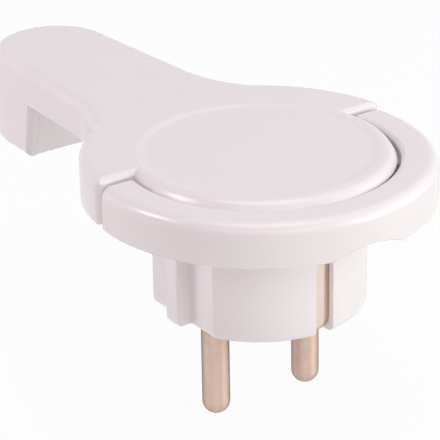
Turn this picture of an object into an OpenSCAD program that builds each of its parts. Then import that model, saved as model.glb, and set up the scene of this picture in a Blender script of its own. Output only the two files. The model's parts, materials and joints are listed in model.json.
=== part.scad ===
// Flat angled plug with side earth contacts, a fold-up pull handle and a flat arm to the cable inlet.
// Origin: plug face, midway between the pins. The pins point to -Z, the arm runs to +Y.

/* [Pins] */
// Distance between the two pin axes
pin_pitch = 19; // [18:0.1:20]
// Diameter of a pin
pin_d = 4.8; // [4:0.1:5]
// Length of a pin below the plug face
pin_len = 19; // [16:0.5:20]

/* [Plug body] */
// Diameter of the round plug body
body_d = 36.4; // [35.6:0.1:37.2]
// Width over the two side flats
flats_w = 31.9; // [31:0.1:32.6]
// Width of the guide rib on each flat
rib_w = 3.8; // [3:0.1:5]
// Width of each earth contact slot
slot_w = 3.4; // [2.8:0.1:4]
// Height of the underside of the head above the plug face
rim_z = 19.75; // [18.5:0.05:23]

/* [Head] */
// Diameter of the round head
head_d = 58.8; // [58:0.2:64]
// Height of the head rim
head_h = 7.85; // [7.6:0.05:9.6]
// Diameter of the centre disc inside the handle
drum_d = 45.2; // [44.6:0.2:45.8]
// Edge rounding of the head rim
rim_round = 1.6; // [1:0.1:2.4]

/* [Pull handle] */
// Gap between the handle ends and the fixed rim
handle_gap = 1.2; // [0.9:0.05:1.4]
// Width of the finger recess under the handle tip
finger_w = 14; // [8:0.5:18]
// Depth of the finger recess
finger_deep = 1.7; // [0.8:0.1:2.2]

/* [Arm] */
// Length from the pin line to the end of the arm
arm_len = 75.8; // [74:0.2:90]
// Width of the arm at its round end
arm_tip_w = 22; // [21:0.2:26]
// Taper of each arm side in degrees
arm_taper = 3; // [1.5:0.1:3.5]
// Thickness of the flat arm
arm_t = 7; // [6:0.1:7.4]
// Height of the block at the end of the arm
block_h = 17.6; // [16.8:0.2:20]
// Length of the block under the arm
block_len = 20.8; // [20:0.2:26]
// Diameter of the cable that the inlet takes
cable_d = 7.5; // [6:0.5:8]

/* [Hidden] */
$fn = 64;
big_fn = 128;

white = [0.93, 0.91, 0.92];
metal = [0.80, 0.72, 0.66];
brass = [0.78, 0.62, 0.38];
steel = [0.70, 0.71, 0.73];

// general
eps = 0.01;
far = 200;
over = 1;
wall = 2;
fit = 0.1;
thread_gap = 0.05;
skin = 1.7;

// levels
flange_t = 2.4;
disc_sink = 0.5;
arm_drop = 0.1;
roof_t = 2.2;
flange_top = rim_z + flange_t;
head_top = rim_z + head_h;
disc_top = head_top - disc_sink;
arm_top = head_top - arm_drop;
arm_under = arm_top - arm_t;
block_z = arm_top - block_h;
channel_top = arm_top - skin;
drum_roof = head_top - roof_t;

// head
head_r = head_d / 2;
head_off = 0.95;
drum_r = drum_d / 2;
lip_r = 1.7;
end_round = 1.1;
rim_foot = 0.3;
notch_y = 3.7;
fixed_end = notch_y + handle_gap / 2;
end_y = fixed_end + end_round;
end_x = sqrt(pow(head_r - end_round, 2) - pow(end_y - head_off, 2));
end_out = 2 * end_round / (head_r - end_round);

// plug body
body_r = body_d / 2;
floor_t = 3.5;
side_t = 2.2;
flat_t = 1.95;
pad_t = 1.6;
pad_side = 1.8;
rib_r = body_r;
rib_corner = 0.6;
rib_low = 0.5;
body_edge = 1.5;
cavity_r = body_r - side_t;
cavity_x = flats_w / 2 - flat_t;
slot_back = 15.8;
pad_y = slot_back - pad_t;
pad_x = slot_w / 2 + pad_side;

// earth bow
strip_t = 0.9;
strip_w = slot_w - 6 * fit;
strip_y = slot_back + fit + strip_t;
strip_bend = 1.6;
strip_low = 0.85;
foot_y = 13.6;
bridge_w = 6;
socket_y = -10;
socket_r = 3;
socket_low = 0.45;
socket_bore = 2.5;
socket_deep = 16;
earth_y = 6;

// pins and terminals
root_r = pin_d / 2 - 2 * fit;
pin_relief = 0.5;
head_x = 3.5;
head_y = 3.7;
head_z = 9;
wire_r = 1.7;
wire_up = 3.4;
wire_z = floor_t + wire_up;
screw_r = 1.25;
screw_head_r = 2.2;
screw_head_h = 1.7;
drive_w = 0.7;
drive_deep = 0.8;
block_drop = 6;
block_wire = 2.4;

// pull handle
hinge_y = -1.2;
hinge_deep = 3.6;
hinge_z = head_top - hinge_deep;
trunnion_r = 1.4;
trunnion_gap = 0.05;
trunnion_in = 1.5;
trunnion_out = 2;
handle_end = notch_y - handle_gap / 2;
handle_sink = 0.8;
handle_top = head_top - handle_sink;
handle_drop = 0.35;
handle_low = rim_z - handle_drop;
handle_round = 1.9;
handle_clear = 0.4;
handle_in = drum_r + handle_clear;
handle_in_round = 0.8;
swing_gap = 0.12;
swing_r = fixed_end - hinge_y - swing_gap;
ledge_w = 1.9;
ledge_r = drum_r + ledge_w;
rebate_r = ledge_r + 4 * fit;
handle_wall = 1.2;
rim_wall = 1.9;
core_in = rebate_r + handle_wall;
core_out = head_r - rim_wall;
core_roof_t = 2.4;
core_roof = handle_top - core_roof_t;
core_end = -7;
ledge_t = 1.5;
ledge_y = -6.8;
rest_gap = 0.05;
finger_r = (finger_w * finger_w / 4 + finger_deep * finger_deep) / (2 * finger_deep);

// arm
tip_r = arm_tip_w / 2;
tip_y = arm_len - tip_r;
arm_edge = 2;
arm_foot = 1.2;
arm_start = 14;
arm_run = tip_y - arm_start;
neck_r = 24;
neck_bite = 0.05;
neck_m = tip_r + (tip_y - head_off) * sin(arm_taper) + neck_r - neck_bite;
neck_t = sqrt(pow(head_r + neck_r - neck_bite, 2) - neck_m * neck_m);
neck_x = neck_m * cos(arm_taper) - neck_t * sin(arm_taper);
neck_y = head_off + neck_m * sin(arm_taper) + neck_t * cos(arm_taper);
neck_a0 = 180 + arm_taper;
neck_a1 = 180 + atan2(neck_y - head_off, neck_x);
neck_in = 6;
channel_x = 10;
channel_in = 1.5;
channel_out = 8;
tongue_x = channel_x - fit;
block_y = arm_len - block_len;
block_draft = 9.6;
block_x = tip_r / cos(arm_taper) + (tip_y - block_y) * tan(arm_taper);
corner_r = 2;
corner_in = 1.85;
panel_in = 0.4;
panel_y = block_y + panel_in;
panel_low = panel_y + (arm_under - block_z) * tan(block_draft);
panel_t = 1.3;
cover_t = 1.2;
panel_up = cover_t * tan(block_draft);
cover_floor = 2;

// cable clamp
clamp_back = 1.6;
clamp_y = tip_y + clamp_back;
clamp_w = 4.2;
clamp_t = 1.6;
clamp_up = 3.75;
clamp_z = block_z + clamp_up;
clamp_play = 0.5;
clamp_half = sqrt(pow(tip_r - wall, 2) - pow(clamp_back + clamp_w / 2, 2)) - clamp_play;
clamp_end = 1.8;
clamp_x = clamp_half - clamp_end;
clamp_boss = 2;
clamp_screw_r = 1.05;
clamp_head_r = 1.9;
clamp_head_h = 1.4;
cable_lift = 0.2;
cable_z = clamp_z + clamp_t + cable_d / 2 + cable_lift;
cable_gap = 0.25;

// housing screws
base_edge = 3.05;
base_y = 6.3;
base_x = sqrt(pow(drum_r - base_edge, 2) - base_y * base_y);
base_boss = 2.2;
base_screw_r = 1.2;
base_head_r = 2.1;
base_head_h = 1.15;
base_sink = 1.2;
base_bore_top = 0.4;
base_tip = 0.4;
base_screw_len = drum_roof - base_bore_top - rim_z - base_sink - base_tip;
cover_side = 4.6;
cover_x = tip_r - cover_side;
cover_in = 4.4;
cover_y = panel_low + cover_in;
cover_boss = 2.1;
cover_screw_r = 1.1;
cover_head_r = 2;
cover_head_h = 1;
cover_sink = 1.1;
boss_depth = 8;

// Round disc with a rounded upper edge and a smaller rounding below
module round_disc(rad, z0, z1, edge, foot) {
    rotate_extrude($fn = big_fn) {
        translate([0, z0 + foot]) square([rad, z1 - z0 - edge - foot]);
        translate([0, z0]) square([rad - foot, (z1 - z0) / 2]);
        translate([0, z0 + foot]) square([rad - edge, z1 - z0 - foot]);
        translate([rad - edge, z1 - edge]) circle(edge);
        translate([rad - foot, z0 + foot]) circle(foot);
    }
}

// Half space on one side of y
module beyond_y(y) {
    translate([-far / 2, y, -far / 2]) cube([far, far, far]);
}

// Screw along +Z with a slotted head below z = 0
module slot_screw(rad, len, head_rad, head_h) {
    difference() {
        union() {
            translate([0, 0, -head_h]) cylinder(r = head_rad, h = head_h);
            translate([0, 0, -eps]) cylinder(r = rad, h = len + eps);
        }
        translate([-head_rad - over, -drive_w / 2, -head_h - over])
            cube([2 * (head_rad + over), drive_w, over + drive_deep]);
    }
}

// Outer half of the arm section, from x = -inner to its outside at x = tip_r
module arm_section(inner) {
    translate([-inner, block_z + arm_foot]) square([tip_r + inner, block_h - arm_foot - arm_edge]);
    translate([-inner, block_z]) square([tip_r + inner - arm_foot, block_h / 2]);
    translate([-inner, block_z + arm_foot]) square([tip_r + inner - arm_edge, block_h - arm_foot]);
    translate([tip_r - arm_edge, arm_top - arm_edge]) circle(arm_edge);
    translate([tip_r - arm_foot, block_z + arm_foot]) circle(arm_foot);
}

// Concave neck between the arm side and the round head
module neck() {
    translate([neck_x, neck_y, 0])
        rotate([0, 0, neck_a0])
            rotate_extrude(angle = neck_a1 - neck_a0, $fn = big_fn)
                difference() {
                    translate([neck_r, arm_under - over]) square([neck_in, arm_t + over]);
                    difference() {
                        translate([neck_r - eps, arm_top - arm_edge])
                            square([arm_edge + eps, arm_edge + eps]);
                        translate([neck_r + arm_edge, arm_top - arm_edge]) circle(arm_edge);
                    }
                }
}

// Whole arm with its necks and block before hollowing
module arm_solid() {
    difference() {
        union() {
            translate([0, tip_y, 0]) {
                for (side = [-1, 1])
                    rotate([0, 0, side * arm_taper])
                        rotate([90, 0, 0])
                            linear_extrude(arm_run)
                                mirror([side < 0 ? 1 : 0, 0]) arm_section(tip_r / 2);
                rotate([0, 0, arm_taper])
                    rotate_extrude(angle = 180 - 2 * arm_taper, $fn = big_fn) arm_section(0);
            }
            neck();
            mirror([1, 0, 0]) neck();
        }
        sheet_x(far)
            polygon([[-far, arm_under], [block_y, arm_under],
                     [block_y + far * tan(block_draft), arm_under - far], [-far, arm_under - far]]);
        block_corner();
        mirror([1, 0, 0]) block_corner();
    }
}

// Outline in the y and z directions, as thick as given along x
module sheet_x(thick) {
    rotate([90, 0, 90]) linear_extrude(thick, center = true) children();
}

// Rounded upright edge of the block, to cut away
module block_corner() {
    intersection() {
        translate([block_x, block_y, arm_under])
            rotate([block_draft, 0, 0])
                translate([0, 0, -block_h])
                    linear_extrude(2 * block_h)
                        difference() {
                            translate([-corner_in, -over]) square([corner_in + over, corner_in + over]);
                            translate([-corner_in, corner_in]) circle(corner_r);
                        }
        translate([0, 0, arm_under - far]) cube([far, far, far]);
    }
}

// Plan of the arm set in from its outside, from the head to the round end
module arm_plan(inset) {
    r = tip_r - inset;
    c = cos(arm_taper);
    s = sin(arm_taper);
    x0 = r * c + (arm_run + r * s) * s / c;
    y1 = tip_y + r * s;
    polygon([[-x0, arm_start], [x0, arm_start], [r * c, y1], [-r * c, y1]]);
    translate([0, tip_y]) circle(r, $fn = big_fn);
}

// Hollow of the arm and block
module arm_hollow() {
    difference() {
        translate([0, 0, block_z - over]) linear_extrude(channel_top - block_z + over) arm_plan(wall);
        translate([0, head_off, 0]) cylinder(r = head_r, h = far, $fn = big_fn);
    }
    translate([-channel_x, drum_r - wall - channel_in, rim_z - over])
        cube([2 * channel_x, head_r - drum_r + channel_out, channel_top - rim_z + over]);
}

// Crescent hollow under the fixed rim on each side of the arm
module rim_core() {
    difference() {
        translate([0, head_off, rim_z - over])
            cylinder(r = core_out, h = channel_top - rim_z + over, $fn = big_fn);
        translate([0, 0, rim_z - 2 * over]) cylinder(r = drum_r + wall, h = far, $fn = big_fn);
        mirror([0, 1, 0]) beyond_y(-fixed_end - wall);
        translate([-channel_x - wall, 0, 0]) cube([2 * (channel_x + wall), far, far]);
    }
}

// Fixed rear rim with rounded ends at the two notches
module fixed_rim() {
    difference() {
        translate([0, head_off, 0]) round_disc(head_r, rim_z, head_top, rim_round, rim_foot);
        mirror([0, 1, 0]) beyond_y(-fixed_end);
        difference() {
            translate([-far / 2, fixed_end - eps, head_top - end_round])
                cube([far, end_round + eps, end_round + eps]);
            translate([-far / 2, fixed_end + end_round, head_top - end_round])
                rotate([0, 90, 0]) cylinder(r = end_round, h = far);
        }
        end_corner();
        mirror([1, 0, 0]) end_corner();
    }
}

// Rounded upright outer edge of the fixed rim at a notch, to cut away
module end_corner() {
    translate([0, 0, rim_z - over])
        linear_extrude(head_h + 2 * over)
            difference() {
                polygon([[end_x, end_y], [end_x, fixed_end - eps], [end_x + 2 * end_round, fixed_end - eps],
                         [end_x + end_out * end_x, end_y + end_out * (end_y - head_off)]]);
                translate([end_x, end_y]) circle(end_round);
            }
}

// Drum under the centre disc, with a rounded lip
module drum() {
    rotate_extrude($fn = big_fn) {
        translate([0, flange_top]) square([drum_r, head_top - flange_top - lip_r]);
        translate([0, flange_top]) square([drum_r - lip_r, head_top - flange_top]);
        translate([drum_r - lip_r, head_top - lip_r]) intersection() {
            circle(lip_r);
            square([lip_r, lip_r]);
        }
    }
}

// Shallow round recess of the centre disc, its upper edge rounded into the lip
module disc_recess() {
    rotate_extrude($fn = big_fn)
        difference() {
            translate([0, disc_top]) square([drum_r - lip_r, disc_sink + over]);
            intersection() {
                translate([drum_r - lip_r, disc_top]) circle(disc_sink);
                translate([0, disc_top - eps]) square([drum_r - lip_r, disc_sink + eps]);
            }
        }
}

module screw_bosses() {
    for (x = [-1, 1])
        for (y = [-1, 1])
            translate([x * base_x, y * base_y, flange_top])
                cylinder(r = base_boss, h = drum_roof - flange_top + eps);
    for (x = [-1, 1]) {
        translate([x * cover_x, cover_y, block_z + cover_floor])
            cylinder(r = cover_boss, h = channel_top - block_z - cover_floor + eps);
        translate([x * clamp_x, clamp_y, clamp_z + clamp_t])
            cylinder(r = clamp_boss, h = channel_top - clamp_z - clamp_t + eps);
    }
}

module screw_bores() {
    for (x = [-1, 1])
        for (y = [-1, 1])
            translate([x * base_x, y * base_y, flange_top - over])
                cylinder(r = base_screw_r + thread_gap, h = drum_roof - base_bore_top - flange_top + over);
    for (x = [-1, 1]) {
        translate([x * cover_x, cover_y, block_z])
            cylinder(r = cover_screw_r + thread_gap, h = cover_floor + boss_depth + over);
        translate([x * clamp_x, clamp_y, clamp_z])
            cylinder(r = clamp_screw_r + thread_gap, h = clamp_t + boss_depth);
    }
}

module upper_housing() {
    color(white)
        difference() {
            union() {
                difference() {
                    union() {
                        drum();
                        fixed_rim();
                        arm_solid();
                    }
                    translate([0, 0, flange_top - over])
                        cylinder(r = drum_r - wall, h = drum_roof - flange_top + over, $fn = big_fn);
                    translate([0, 0, rim_z - over])
                        cylinder(r = drum_r + fit, h = flange_t + over, $fn = big_fn);
                    arm_hollow();
                    rim_core();
                    disc_recess();
                }
                screw_bosses();
            }
            screw_bores();
            translate([-drum_r - over, hinge_y, hinge_z])
                rotate([0, 90, 0]) cylinder(r = trunnion_r + trunnion_gap, h = 2 * (drum_r + over));
            translate([0, tip_y + tip_r / 2, cable_z])
                rotate([-90, 0, 0]) cylinder(r = cable_d / 2 + cable_gap, h = tip_r / 2 + over);
        }
}

// Cross section of the two guide ribs
module rib_section() {
    square([2 * rib_r, rib_w - 2 * rib_corner], center = true);
    square([2 * (rib_r - rib_corner), rib_w], center = true);
    for (x = [-1, 1])
        for (y = [-1, 1])
            translate([x * (rib_r - rib_corner), y * (rib_w / 2 - rib_corner)]) circle(rib_corner);
}

// Section over the flats, seen along y, with rounded lower edges
module flats_section() {
    translate([-flats_w / 2, body_edge]) square([flats_w, rim_z + eps - body_edge]);
    translate([body_edge - flats_w / 2, 0]) square([flats_w - 2 * body_edge, rim_z]);
    for (x = [-1, 1])
        translate([x * (flats_w / 2 - body_edge), body_edge]) circle(body_edge);
}

// Plug body with flats, ribs and earth slots
module body_solid() {
    difference() {
        intersection() {
            union() {
                rotate([90, 0, 0]) linear_extrude(2 * body_d, center = true) flats_section();
                translate([0, 0, rib_low]) linear_extrude(rim_z + eps - rib_low) rib_section();
            }
            mirror([0, 0, 1]) round_disc(body_r + eps, -rim_z - over, 0, body_edge, body_edge);
        }
        for (y = [-1, 1])
            translate([-slot_w / 2, y > 0 ? slot_back : -slot_back - far, -over]) cube([slot_w, far, far]);
    }
}

module body_cavity() {
    translate([0, 0, floor_t])
        linear_extrude(far)
            difference() {
                intersection() {
                    circle(cavity_r, $fn = big_fn);
                    square([2 * cavity_x, 2 * cavity_r], center = true);
                }
                for (y = [-1, 1])
                    translate([-pad_x, y > 0 ? pad_y : -pad_y - far]) square([2 * pad_x, far]);
            }
}

module plug_base() {
    color(white)
        difference() {
            union() {
                body_solid();
                translate([0, 0, rim_z]) cylinder(r = drum_r, h = flange_t, $fn = big_fn);
                intersection() {
                    translate([0, 0, rim_z]) cylinder(r = ledge_r, h = ledge_t, $fn = big_fn);
                    mirror([0, 1, 0]) beyond_y(-ledge_y);
                }
                intersection() {
                    translate([0, head_off, rim_z]) cylinder(r = head_r, h = flange_t, $fn = big_fn);
                    translate([-tongue_x, drum_r - wall, 0]) cube([2 * tongue_x, far, far]);
                }
            }
            body_cavity();
            for (x = [-1, 1])
                translate([x * pin_pitch / 2, 0, -over]) {
                    cylinder(r = root_r + thread_gap, h = floor_t + 2 * over);
                    cylinder(r = pin_d / 2 + fit, h = over + pin_relief);
                }
            translate([0, socket_y, -over]) cylinder(r = socket_r + thread_gap, h = floor_t + 2 * over);
            for (y = [-1, 1]) {
                translate([-slot_w / 2, y > 0 ? slot_back : -strip_y - fit, rim_z - over])
                    cube([slot_w, strip_y + fit - slot_back, flange_t + 2 * over]);
                translate([-slot_w / 2, y > 0 ? foot_y - fit : -slot_back - eps, -over])
                    cube([slot_w, slot_back - foot_y + fit + eps, over + strip_low + strip_bend]);
            }
            for (x = [-1, 1])
                for (y = [-1, 1])
                    translate([x * base_x, y * base_y, rim_z - over]) {
                        cylinder(r = base_screw_r + fit, h = flange_t + 2 * over);
                        cylinder(r = base_head_r + fit, h = over + base_sink);
                    }
        }
}

module arm_cover() {
    color(white)
        difference() {
            intersection() {
                translate([0, 0, block_z]) linear_extrude(block_h) arm_plan(wall + fit);
                union() {
                    translate([-far / 2, 0, arm_under]) cube([far, panel_y + panel_t / 2, cover_t]);
                    sheet_x(far)
                        polygon([[panel_y - panel_up, arm_under + cover_t], [panel_low, block_z],
                                 [panel_low + panel_t, block_z],
                                 [panel_y - panel_up + panel_t, arm_under + cover_t]]);
                    translate([-far / 2, panel_low + panel_t / 2, block_z]) cube([far, far, cover_floor]);
                }
            }
            translate([0, head_off, 0]) cylinder(r = head_r + fit, h = far, $fn = big_fn);
            for (x = [-1, 1])
                translate([x * cover_x, cover_y, block_z - over]) {
                    cylinder(r = cover_screw_r + fit, h = cover_floor + 2 * over);
                    cylinder(r = cover_head_r + fit, h = over + cover_sink);
                }
        }
}

// Half ring of the handle before the hinge ends are shaped
module handle_ring() {
    difference() {
        translate([0, -head_off, 0]) round_disc(head_r, handle_low, handle_top, handle_round, rim_foot);
        translate([0, -head_off, handle_low - over]) cylinder(r = handle_in, h = far, $fn = big_fn);
        translate([0, 0, handle_low - over])
            cylinder(r = rebate_r, h = rim_z + ledge_t + rest_gap - handle_low + over, $fn = big_fn);
        translate([0, -head_off, 0])
            rotate_extrude($fn = big_fn)
                difference() {
                    translate([handle_in - over, handle_top - handle_in_round])
                        square([handle_in_round + over, handle_in_round + over]);
                    translate([handle_in + handle_in_round, handle_top - handle_in_round])
                        circle(handle_in_round);
                }
        beyond_y(handle_end);
    }
}

module pull_handle() {
    color(white) {
        difference() {
            handle_ring();
            difference() {
                translate([-far / 2, hinge_y, hinge_z]) cube([far, far, far]);
                translate([-far / 2, hinge_y, hinge_z]) rotate([0, 90, 0]) cylinder(r = swing_r, h = far);
            }
            difference() {
                translate([0, -head_off, handle_low - over])
                    cylinder(r = core_out, h = core_roof - handle_low + over, $fn = big_fn);
                translate([0, 0, handle_low - 2 * over]) cylinder(r = core_in, h = far, $fn = big_fn);
                beyond_y(core_end);
            }
            translate([0, 0, handle_low + finger_deep - finger_r])
                rotate([90, 0, 0]) cylinder(r = finger_r, h = far, $fn = big_fn);
        }
        for (side = [0, 1])
            mirror([side, 0, 0])
                translate([drum_r - trunnion_in, hinge_y, hinge_z])
                    rotate([0, 90, 0]) cylinder(r = trunnion_r, h = trunnion_in + trunnion_out);
    }
}

// Pin with its terminal block, drilled for the wire and the terminal screw
module contact_pin() {
    difference() {
        union() {
            rotate_extrude() {
                translate([0, pin_d / 2 - pin_len]) square([pin_d / 2, pin_len - pin_d / 2]);
                translate([0, -over]) square([root_r, floor_t + 2 * over]);
                intersection() {
                    translate([0, pin_d / 2 - pin_len]) circle(pin_d / 2);
                    translate([0, -pin_len]) square([pin_d / 2, pin_d / 2]);
                }
            }
            translate([-head_x, -head_y, floor_t]) cube([2 * head_x, 2 * head_y, head_z]);
        }
        translate([0, head_y + over, wire_z])
            rotate([90, 0, 0]) cylinder(r = wire_r, h = 2 * (head_y + over));
        translate([0, 0, wire_z]) cylinder(r = screw_r + thread_gap, h = far);
    }
}

module live_pin() {
    color(metal) translate([-pin_pitch / 2, 0, 0]) contact_pin();
}

module neutral_pin() {
    color(metal) translate([pin_pitch / 2, 0, 0]) contact_pin();
}

// One side contact with its lower end bent inwards
module earth_leg() {
    translate([-strip_w / 2, strip_y - strip_t, strip_low + strip_bend])
        cube([strip_w, strip_t, flange_top + strip_t - strip_low - strip_bend]);
    translate([-strip_w / 2, strip_y - strip_bend, strip_low + strip_bend])
        rotate([90, 0, 90])
            rotate([0, 0, -90])
                rotate_extrude(angle = 90) translate([strip_bend - strip_t, 0]) square([strip_t, strip_w]);
    translate([-strip_w / 2, foot_y, strip_low])
        cube([strip_w, strip_y - strip_bend - foot_y, strip_t]);
}

module earth_strip() {
    color(metal)
        difference() {
            union() {
                earth_leg();
                mirror([0, 1, 0]) earth_leg();
                translate([-strip_w / 2, -strip_y, flange_top]) cube([strip_w, 2 * strip_y, strip_t]);
                translate([-bridge_w / 2, -pad_y, flange_top]) cube([bridge_w, 2 * pad_y, strip_t]);
            }
            translate([0, earth_y, flange_top - over]) cylinder(r = screw_r + fit, h = strip_t + 2 * over);
        }
}

module earth_socket() {
    color(metal)
        translate([0, socket_y, 0])
            difference() {
                translate([0, 0, socket_low]) cylinder(r = socket_r, h = flange_top - socket_low);
                cylinder(r = socket_bore, h = socket_deep);
            }
}

module earth_terminal() {
    color(brass)
        translate([0, earth_y, flange_top - block_drop])
            difference() {
                translate([-head_x, -block_drop / 2, 0]) cube([2 * head_x, block_drop, block_drop]);
                translate([-head_x - over, 0, block_wire])
                    rotate([0, 90, 0]) cylinder(r = wire_r, h = 2 * (head_x + over));
                translate([0, 0, block_drop / 2]) cylinder(r = screw_r + thread_gap, h = far);
            }
}

// Terminal screw pointing down, its head resting at z = 0
module terminal_screw(len) {
    mirror([0, 0, 1]) slot_screw(screw_r, len, screw_head_r, screw_head_h);
}

module live_screw() {
    color(steel)
        translate([-pin_pitch / 2, 0, floor_t + head_z]) terminal_screw(floor_t + head_z - wire_z);
}

module neutral_screw() {
    color(steel)
        translate([pin_pitch / 2, 0, floor_t + head_z]) terminal_screw(floor_t + head_z - wire_z);
}

module earth_screw() {
    color(steel)
        translate([0, earth_y, flange_top + strip_t]) terminal_screw(strip_t + block_drop / 2);
}

module cable_clamp() {
    color(white)
        translate([0, clamp_y, clamp_z])
            difference() {
                translate([-clamp_half, -clamp_w / 2, 0]) cube([2 * clamp_half, clamp_w, clamp_t]);
                for (x = [-1, 1])
                    translate([x * clamp_x, 0, -over])
                        cylinder(r = clamp_screw_r + fit, h = clamp_t + 2 * over);
            }
}

module clamp_screws() {
    color(steel)
        for (x = [-1, 1])
            translate([x * clamp_x, clamp_y, clamp_z])
                slot_screw(clamp_screw_r, clamp_t + boss_depth - over, clamp_head_r, clamp_head_h);
}

module base_screws() {
    color(steel)
        for (x = [-1, 1])
            for (y = [-1, 1])
                translate([x * base_x, y * base_y, rim_z + base_sink])
                    slot_screw(base_screw_r, base_screw_len, base_head_r, base_head_h);
}

module cover_screws() {
    color(steel)
        for (x = [-1, 1])
            translate([x * cover_x, cover_y, block_z + cover_sink])
                slot_screw(cover_screw_r, boss_depth, cover_head_r, cover_head_h);
}

upper_housing();
plug_base();
arm_cover();
pull_handle();
live_pin();
neutral_pin();
earth_strip();
earth_socket();
earth_terminal();
live_screw();
neutral_screw();
earth_screw();
cable_clamp();
clamp_screws();
base_screws();
cover_screws();
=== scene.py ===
import json
import math

import bmesh
import bpy
from mathutils import Matrix, Vector


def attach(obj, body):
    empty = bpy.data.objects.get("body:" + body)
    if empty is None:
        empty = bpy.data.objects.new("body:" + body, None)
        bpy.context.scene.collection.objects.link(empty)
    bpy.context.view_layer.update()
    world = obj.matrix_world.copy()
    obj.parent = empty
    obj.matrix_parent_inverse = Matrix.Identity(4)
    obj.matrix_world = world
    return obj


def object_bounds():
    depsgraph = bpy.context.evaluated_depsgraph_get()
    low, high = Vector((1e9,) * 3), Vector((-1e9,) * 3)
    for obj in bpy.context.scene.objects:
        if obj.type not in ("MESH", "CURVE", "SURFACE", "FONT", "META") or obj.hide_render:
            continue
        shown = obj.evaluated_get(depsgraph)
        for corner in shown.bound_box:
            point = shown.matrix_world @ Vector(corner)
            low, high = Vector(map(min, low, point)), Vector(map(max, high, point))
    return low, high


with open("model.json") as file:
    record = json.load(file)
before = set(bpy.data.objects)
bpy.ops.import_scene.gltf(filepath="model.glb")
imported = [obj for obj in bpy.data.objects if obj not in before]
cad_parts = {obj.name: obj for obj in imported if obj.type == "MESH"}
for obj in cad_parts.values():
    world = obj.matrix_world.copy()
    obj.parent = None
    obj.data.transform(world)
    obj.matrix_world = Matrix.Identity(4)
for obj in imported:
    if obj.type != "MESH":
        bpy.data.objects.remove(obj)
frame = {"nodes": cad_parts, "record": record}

cad_box = [list(corner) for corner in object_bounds()]

MM = 0.001

# Camera, as the photograph shows the plug: angles in degrees, lengths in metres
IMAGE_PX = 440
SENSOR_MM = 36.0
CAMERA_AZIMUTH = -34.79
CAMERA_ELEVATION = 24.08
CAMERA_ROLL = -1.01
CAMERA_DISTANCE = 0.420
CAMERA_FOCUS_PX = 2461.0
CAMERA_RIGHT = -0.00663
CAMERA_UP = 0.01328
CAMERA_CLIP = 0.01

# Top of the centre disc with its soft lip, in millimetres and degrees about the drum's axis
LIP_STEPS = 240
# Slope from the flat up to the lip
LIP_SLOPE_STEPS = 12
LIP_FOOT_R = 18.6
LIP_FOOT_Z = 27.36
LIP_TOP_R = 20.75
LIP_TOP_Z = 27.612
# Flank from the lip down to an outer edge that is a circle of its own
LIP_FLANK_STEPS = 10
LIP_FLANK = 1.9
LIP_FLANK_POWER = 2.4
LIP_EDGE_R = 22.42
LIP_EDGE_Z = 26.15
LIP_EDGE_FORWARD = 1.25
LIP_EDGE_ASIDE = -0.2
LIP_WALL_IN = 0.03
LIP_WALL_DEPTH = 0.2
# Hidden underside
LIP_UNDER_R = 22.3
LIP_UNDER_Z = 25.6
LIP_UNDER_FOOT_Z = 26.6
# Angles from the front up to which the flank is full, and from which it is gone
LIP_FULL = 85.0
LIP_GONE = 97.0
# Curve just inside the drum's own lip, where the flank hides at the back
DRUM_LIP_R = 20.9
DRUM_LIP_Z = 25.9
DRUM_LIP_ROUND = 1.64
DRUM_LIP_FROM = 5.0
DRUM_LIP_TURN = 85.0
DRUM_LIP_END = (22.45, 25.7)

# Bowed faces of the side earth contacts, in millimetres and degrees
BOW_HALF_W = 1.6
BOW_HALF_STEPS = 4
BOW_STRAIGHT_Z = (19.7, 14.0, 8.0)
BOW_BEND_Y = 15.2
BOW_BEND_Z = 2.45
BOW_OUT_R = 2.35
BOW_IN_R = 1.55
BOW_CROWN = 0.40
BOW_CREST = -0.2
BOW_TURN = 80.0
BOW_TURN_STEPS = 10

# Added edges that bend more than this stay sharp, in degrees
SHARP_EDGE = 35.0

# White plastic: each noise has its features a metre and its detail, lengths are in metres
PLASTIC_TONES = ((0.858, 0.818, 0.832, 1), (0.878, 0.838, 0.852, 1))
PLASTIC_CLOUD = (90.0, 3.0)
PLASTIC_GRAIN = (5200.0, 2.0)
PLASTIC_FLOW = (420.0, 4.0)
PLASTIC_ROUGH = (0.20, 0.27)
PLASTIC_IOR = 1.49
PLASTIC_EDGE = 0.00025
PLASTIC_BUMP = 0.12
PLASTIC_BUMP_DEPTH = 0.00002

# Metals: the noise for the drawn lines is stretched along Z, and the cloud also has a roughness
METAL_STRETCH = (1.0, 1.0, 0.04)
METAL_LINES = (9000.0, 3.0)
METAL_CLOUD = (500.0, 4.0, 0.6)
METAL_EDGE = 0.00015
METAL_BUMP = 0.10
METAL_BUMP_DEPTH = 0.00001
QUARTER_TURN = 0.25
# Each metal's dark and light tone, roughness range, edge tint and upright smear of its gloss. The low
# edge tints of the pin metal and the plated brass are painted shade: they darken the grazing edges as
# dark surroundings would.
METALS = {
    "plated_brass": (((0.60, 0.445, 0.375, 1), (0.72, 0.555, 0.48, 1)),
                     (0.40, 0.52), (0.3, 0.25, 0.22, 1), 0.0),
    "pin_metal": (((0.565, 0.41, 0.345, 1), (0.70, 0.53, 0.46, 1)),
                  (0.43, 0.55), (0.1, 0.08, 0.07, 1), 0.72),
    "contact_face": (((0.79, 0.66, 0.57, 1), (0.86, 0.73, 0.64, 1)),
                     (0.14, 0.22), (0.5, 0.42, 0.36, 1), 0.0),
    "bare_brass": (((0.66, 0.47, 0.20, 1), (0.75, 0.56, 0.27, 1)),
                   (0.28, 0.40), (0.7, 0.6, 0.4, 1), 0.0),
    "screw_steel": (((0.55, 0.56, 0.58, 1), (0.66, 0.67, 0.69, 1)),
                    (0.25, 0.38), (0.7, 0.7, 0.7, 1), 0.0),
}
TURNED_PINS = ("live_pin", "neutral_pin")

# Sockets of a colour Mix node, and the middle range of a noise value
MIX_SHARE, MIX_FIRST, MIX_SECOND, MIX_RESULT = 0, 6, 7, 2
NOISE_LOW = 0.3
NOISE_HIGH = 0.7
BEVEL_SAMPLES = 6

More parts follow.
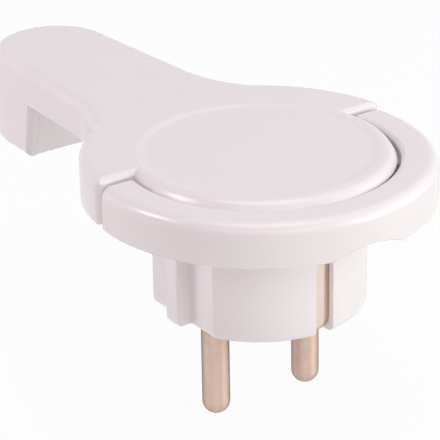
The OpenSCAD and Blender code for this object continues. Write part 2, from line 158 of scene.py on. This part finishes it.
# Floor and world
FLOOR_SIZE = 4.0
FLOOR_TONES = ((0.92, 0.92, 0.92, 1), (0.94, 0.94, 0.94, 1))
FLOOR_CLOUD = 3.0
FLOOR_PLAIN_SHARE = 0.94
WORLD_PLAIN_SHARE = 1.0
WORLD_LIGHT = 0.05
WORLD_COLOUR = (1.0, 0.985, 0.995, 1)
PLAIN_WHITE = (1, 1, 1, 1)

# Lamps, in metres, watts and degrees
LAMP_DISTANCE = 0.6
LAMP_TARGET = (0, 0.01, 0.015)
# Each lamp's name, width, height, power, azimuth, elevation, colour and kind of reflection
LAMPS = (
    ("top_light", 0.42, 0.42, 1.76, 0, 88, (0.97, 0.89, 0.97), "all"),
    ("key_light", 0.80, 0.42, 1.88, 48, 18, (0.94, 1.0, 0.96), "all"),
    ("strip_light", 0.10, 0.42, 0.50, 30, 9, (0.97, 1.0, 0.96), "all"),
    ("front_light", 0.70, 0.42, 1.40, -32, 27, (1.0, 0.91, 0.87), "all"),
    ("left_light", 0.30, 0.20, 1.42, -138, 9, (1.0, 0.92, 0.93), "matt"),
    ("edge_light", 0.18, 0.18, 1.05, -116, 38, (1.0, 0.97, 0.98), "gloss"),
    ("back_light", 0.42, 0.42, 0.36, 120, 50, (1.0, 0.95, 0.90), "all"),
)


def add(tree, kind, inputs=None, **settings):
    """Adds a shader node. An input given as a socket is linked, any other is set."""
    made = tree.nodes.new(kind)
    for name, value in settings.items():
        setattr(made, name, value)
    for name, value in (inputs or {}).items():
        if isinstance(value, bpy.types.NodeSocket):
            tree.links.new(value, made.inputs[name])
        else:
            made.inputs[name].default_value = value
    return made


def new_material(name):
    """An empty node material and its tree."""
    material = bpy.data.materials.new(name)
    material.use_nodes = True
    material.node_tree.nodes.clear()
    return material, material.node_tree


def surface(tree, shader):
    """Makes a shader the surface of its material."""
    add(tree, "ShaderNodeOutputMaterial", {"Surface": shader})


def noise(tree, place, scale, detail=2.0, roughness=0.5):
    """Noise between 0 and 1 at so many features a metre."""
    made = add(tree, "ShaderNodeTexNoise",
               {"Vector": place, "Scale": scale, "Detail": detail, "Roughness": roughness})
    return made.outputs["Fac"]


def spread(tree, value, low, high):
    """Maps a noise value to the range from low to high."""
    made = add(tree, "ShaderNodeMapRange",
               {"Value": value, "From Min": NOISE_LOW, "From Max": NOISE_HIGH,
                "To Min": low, "To Max": high})
    return made.outputs["Result"]


def blend(tree, share, first, second):
    """A colour between two tones."""
    made = add(tree, "ShaderNodeMix", data_type="RGBA")
    tree.links.new(share, made.inputs[MIX_SHARE])
    made.inputs[MIX_FIRST].default_value = first
    made.inputs[MIX_SECOND].default_value = second
    return made.outputs[MIX_RESULT]


def grained(tree, height, strength, depth, edge_radius):
    """A surface direction with softened edges and a fine relief."""
    edge = add(tree, "ShaderNodeBevel", {"Radius": edge_radius}, samples=BEVEL_SAMPLES)
    bump = add(tree, "ShaderNodeBump",
               {"Strength": strength, "Distance": depth, "Height": height,
                "Normal": edge.outputs["Normal"]})
    return bump.outputs["Normal"]


def white_plastic():
    """Satin white moulding: faint clouding, fine grain and softened edges."""
    material, tree = new_material("white_plastic")
    place = add(tree, "ShaderNodeTexCoord").outputs["Object"]
    cloud = noise(tree, place, *PLASTIC_CLOUD)
    grain = noise(tree, place, *PLASTIC_GRAIN)
    flow = noise(tree, place, *PLASTIC_FLOW)
    shader = add(tree, "ShaderNodeBsdfPrincipled",
                 {"Base Color": blend(tree, cloud, *PLASTIC_TONES),
                  "Roughness": spread(tree, flow, *PLASTIC_ROUGH),
                  "IOR": PLASTIC_IOR,
                  "Normal": grained(tree, grain, PLASTIC_BUMP, PLASTIC_BUMP_DEPTH, PLASTIC_EDGE)})
    surface(tree, shader.outputs["BSDF"])
    return material


def drawn_metal(name, tones, rough, edge_tint_and_edge_shade, turned):
    """Plated or bare metal with fine lines along its length. Its edge tint colours the grazing gloss,
    and a low one paints shade on the edges. A turned one smears its gloss upright.
    """
    material, tree = new_material(name)
    place = add(tree, "ShaderNodeTexCoord").outputs["Object"]
    drawn = add(tree, "ShaderNodeMapping", {"Vector": place, "Scale": METAL_STRETCH})
    lines = noise(tree, drawn.outputs["Vector"], *METAL_LINES)
    cloud = noise(tree, place, *METAL_CLOUD)
    shader = add(tree, "ShaderNodeBsdfPrincipled",
                 {"Base Color": blend(tree, cloud, *tones), "Metallic": 1.0,
                  "Roughness": spread(tree, lines, *rough),
                  "Specular Tint": edge_tint_and_edge_shade,
                  "Normal": grained(tree, lines, METAL_BUMP, METAL_BUMP_DEPTH, METAL_EDGE)})
    if turned:
        round_axis = add(tree, "ShaderNodeTangent", direction_type="RADIAL", axis="Z")
        tree.links.new(round_axis.outputs["Tangent"], shader.inputs["Tangent"])
        shader.inputs["Anisotropic"].default_value = turned
        shader.inputs["Anisotropic Rotation"].default_value = QUARTER_TURN
    surface(tree, shader.outputs["BSDF"])
    return material


def dress_nodes():
    """Gives each CAD node the material of its slot and returns the materials."""
    looks = {"white_plastic": white_plastic()}
    for name, values in METALS.items():
        looks[name] = drawn_metal(name, *values)
    for part in frame["record"]["subparts"]:
        piece = frame["nodes"][part["node"]]
        piece.data.materials.clear()
        finish = "pin_metal" if part["node"] in TURNED_PINS else part["material_slot"]
        piece.data.materials.append(looks[finish])
    return looks


def solid(name, material, faces_of):
    """A closed smooth mesh piece that rides on the plug, its sharp edges kept."""
    mesh = bmesh.new()
    faces_of(mesh)
    bmesh.ops.recalc_face_normals(mesh, faces=mesh.faces)
    for face in mesh.faces:
        face.smooth = True
    for edge in mesh.edges:
        edge.smooth = edge.calc_face_angle(0.0) < math.radians(SHARP_EDGE)
    data = bpy.data.meshes.new(name)
    mesh.to_mesh(data)
    mesh.free()
    data.materials.append(material)
    piece = bpy.data.objects.new(name, data)
    bpy.context.scene.collection.objects.link(piece)
    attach(piece, "plug")
    return piece


def lip_section(angle):
    """Radius and height of the cap's section at an angle from the front, its flank sunk at the back."""
    shown = min(1.0, max(0.0, (LIP_GONE - abs(angle)) / (LIP_GONE - LIP_FULL)))
    a = math.radians(angle)
    along = LIP_EDGE_FORWARD * math.cos(a) + LIP_EDGE_ASIDE * math.sin(a)
    across = LIP_EDGE_FORWARD * math.sin(a) - LIP_EDGE_ASIDE * math.cos(a)
    edge = along + math.sqrt(LIP_EDGE_R ** 2 - across ** 2)
    start = max(LIP_TOP_R, edge - LIP_FLANK)

    def sunk(full, hidden):
        return tuple(shown * f + (1 - shown) * h for f, h in zip(full, hidden))

    section = []
    for i in range(LIP_SLOPE_STEPS + 1):
        t = i / LIP_SLOPE_STEPS
        section.append((LIP_FOOT_R + (LIP_TOP_R - LIP_FOOT_R) * t,
                        LIP_FOOT_Z + (LIP_TOP_Z - LIP_FOOT_Z) * t * t * (3 - 2 * t)))
    for i in range(1, LIP_FLANK_STEPS + 1):
        t = i / LIP_FLANK_STEPS
        turn = math.radians(DRUM_LIP_FROM + DRUM_LIP_TURN * t)
        flank = (start + (edge - start) * t,
                 LIP_TOP_Z - (LIP_TOP_Z - LIP_EDGE_Z) * t ** LIP_FLANK_POWER)
        drum = (DRUM_LIP_R + DRUM_LIP_ROUND * math.sin(turn),
                DRUM_LIP_Z + DRUM_LIP_ROUND * math.cos(turn))
        section.append(sunk(flank, drum))
    section.append(sunk((edge - LIP_WALL_IN, LIP_EDGE_Z - LIP_WALL_DEPTH), DRUM_LIP_END))
    section.append((LIP_UNDER_R, LIP_UNDER_Z))
    section.append((LIP_FOOT_R, LIP_UNDER_FOOT_Z))
    return section


def make_cap(material):
    """Top of the centre disc: a flat, a soft slope up to the lip and a full flank towards the handle."""
    def faces_of(mesh):
        rows = []
        for step in range(LIP_STEPS):
            angle = 360.0 * step / LIP_STEPS - 180.0
            a = math.radians(angle)
            rows.append([mesh.verts.new((MM * r * math.sin(a), -MM * r * math.cos(a), MM * z))
                         for r, z in lip_section(angle)])
        for row, after in zip(rows, rows[1:] + rows[:1]):
            for i in range(len(row) - 1):
                mesh.faces.new((row[i], row[i + 1], after[i + 1], after[i]))
        mesh.faces.new([row[0] for row in rows])
        mesh.faces.new([row[-1] for row in rows])

    solid("disc_cap", material, faces_of)


def make_bow(name, side, material):
    """Bowed face of an earth contact, crowned across and turned in at its lower end."""
    def faces_of(mesh):
        course = [(0.0, z) for z in BOW_STRAIGHT_Z]
        course += [(math.radians(BOW_TURN * i / BOW_TURN_STEPS), BOW_BEND_Z)
                   for i in range(BOW_TURN_STEPS + 1)]
        rows = []
        for turn, z in course:
            outer, inner = [], []
            for i in range(2 * BOW_HALF_STEPS + 1):
                share = i / BOW_HALF_STEPS - 1
                reach = BOW_OUT_R - BOW_CROWN * (share - BOW_CREST) ** 2
                for edge, radius in ((outer, reach), (inner, BOW_IN_R)):
                    edge.append((BOW_HALF_W * share, BOW_BEND_Y + radius * math.cos(turn),
                                 z - radius * math.sin(turn)))
            rows.append([mesh.verts.new((MM * x, side * MM * y, MM * z))
                         for x, y, z in outer + inner[::-1]])
        for row, after in zip(rows, rows[1:]):
            for i in range(len(row)):
                j = (i + 1) % len(row)
                mesh.faces.new((row[i], row[j], after[j], after[i]))
        mesh.faces.new(rows[0])
        mesh.faces.new(rows[-1])

    solid(name, material, faces_of)


def white_to_the_eye(tree, lit, share):
    """Mixes a lit shader with plain white where the camera or a reflection looks at it."""
    path = add(tree, "ShaderNodeLightPath")
    seen = add(tree, "ShaderNodeMath",
               {0: path.outputs["Is Camera Ray"], 1: path.outputs["Is Glossy Ray"]},
               operation="MAXIMUM")
    through = add(tree, "ShaderNodeMath",
                  {0: seen.outputs[0], 1: path.outputs["Is Transmission Ray"]},
                  operation="MAXIMUM")
    part = add(tree, "ShaderNodeMath", {0: through.outputs[0], 1: share}, operation="MULTIPLY")
    white = add(tree, "ShaderNodeEmission", {"Color": PLAIN_WHITE, "Strength": 1.0})
    mixed = add(tree, "ShaderNodeMixShader", {0: part.outputs[0], 1: lit, 2: white.outputs[0]})
    return mixed.outputs[0]


def make_floor():
    """Pale floor at the pin tips: white to the eye with the plug's soft shadow, clear from below."""
    low = cad_box[0][2]
    bpy.ops.mesh.primitive_plane_add(size=FLOOR_SIZE, location=(0, 0, low))
    floor = bpy.context.object
    floor.name = "floor"
    material, tree = new_material("floor")
    place = add(tree, "ShaderNodeTexCoord").outputs["Object"]
    tone = blend(tree, noise(tree, place, FLOOR_CLOUD), *FLOOR_TONES)
    lit = add(tree, "ShaderNodeBsdfDiffuse", {"Color": tone})
    above = white_to_the_eye(tree, lit.outputs[0], FLOOR_PLAIN_SHARE)
    below = add(tree, "ShaderNodeBsdfTransparent")
    side = add(tree, "ShaderNodeNewGeometry")
    floor_look = add(tree, "ShaderNodeMixShader",
                     {0: side.outputs["Backfacing"], 1: above, 2: below.outputs[0]})
    surface(tree, floor_look.outputs[0])
    floor.data.materials.append(material)


def make_world():
    """A faint even light that looks white to the eye."""
    world = bpy.data.worlds.new("studio")
    bpy.context.scene.world = world
    world.use_nodes = True
    tree = world.node_tree
    tree.nodes.clear()
    lit = add(tree, "ShaderNodeBackground", {"Color": WORLD_COLOUR, "Strength": WORLD_LIGHT})
    shown = white_to_the_eye(tree, lit.outputs[0], WORLD_PLAIN_SHARE)
    add(tree, "ShaderNodeOutputWorld", {"Surface": shown})


def heading(azimuth, elevation):
    """Direction from the plug to a viewpoint. Azimuth 0 is in front, towards the handle's tip."""
    a, e = math.radians(azimuth), math.radians(elevation)
    return Vector((math.sin(a) * math.cos(e), -math.cos(a) * math.cos(e), math.sin(e)))


def soft_box(name, width, height, power, azimuth, elevation, colour, reflection):
    """A flat lamp that looks at the head, with all, only matt or only glossy reflections."""
    away = heading(azimuth, elevation)
    data = bpy.data.lights.new(name, "AREA")
    data.shape = "RECTANGLE"
    data.size = width
    data.size_y = height
    data.energy = power
    data.color = colour
    lamp = bpy.data.objects.new(name, data)
    bpy.context.scene.collection.objects.link(lamp)
    lamp.visible_diffuse = reflection in ("all", "matt")
    lamp.visible_glossy = reflection in ("all", "gloss")
    lamp.location = Vector(LAMP_TARGET) + away * LAMP_DISTANCE
    lamp.rotation_euler = (-away).to_track_quat("-Z", "Y").to_euler()


def make_camera():
    """The photograph's viewpoint, worked out from the pins' known size."""
    a, r = math.radians(CAMERA_AZIMUTH), math.radians(CAMERA_ROLL)
    back = heading(CAMERA_AZIMUTH, CAMERA_ELEVATION)
    right = Vector((math.cos(a), math.sin(a), 0))
    up = back.cross(right)
    across = right * math.cos(r) + up * math.sin(r)
    upward = up * math.cos(r) - right * math.sin(r)
    data = bpy.data.cameras.new("camera")
    data.sensor_fit = "HORIZONTAL"
    data.sensor_width = SENSOR_MM
    data.lens = CAMERA_FOCUS_PX * SENSOR_MM / IMAGE_PX
    data.clip_start = CAMERA_CLIP
    camera = bpy.data.objects.new("camera", data)
    bpy.context.scene.collection.objects.link(camera)
    turn = Matrix((across, upward, back)).transposed().to_4x4()
    place = right * CAMERA_RIGHT + up * CAMERA_UP + back * CAMERA_DISTANCE
    camera.matrix_world = Matrix.Translation(place) @ turn
    bpy.context.scene.camera = camera


bpy.context.scene.view_settings.view_transform = "Standard"
looks = dress_nodes()
make_cap(looks["white_plastic"])
make_bow("earth_bow_front", -1, looks["contact_face"])
make_bow("earth_bow_back", 1, looks["contact_face"])
make_floor()
make_world()
for lamp in LAMPS:
    soft_box(*lamp)
make_camera()
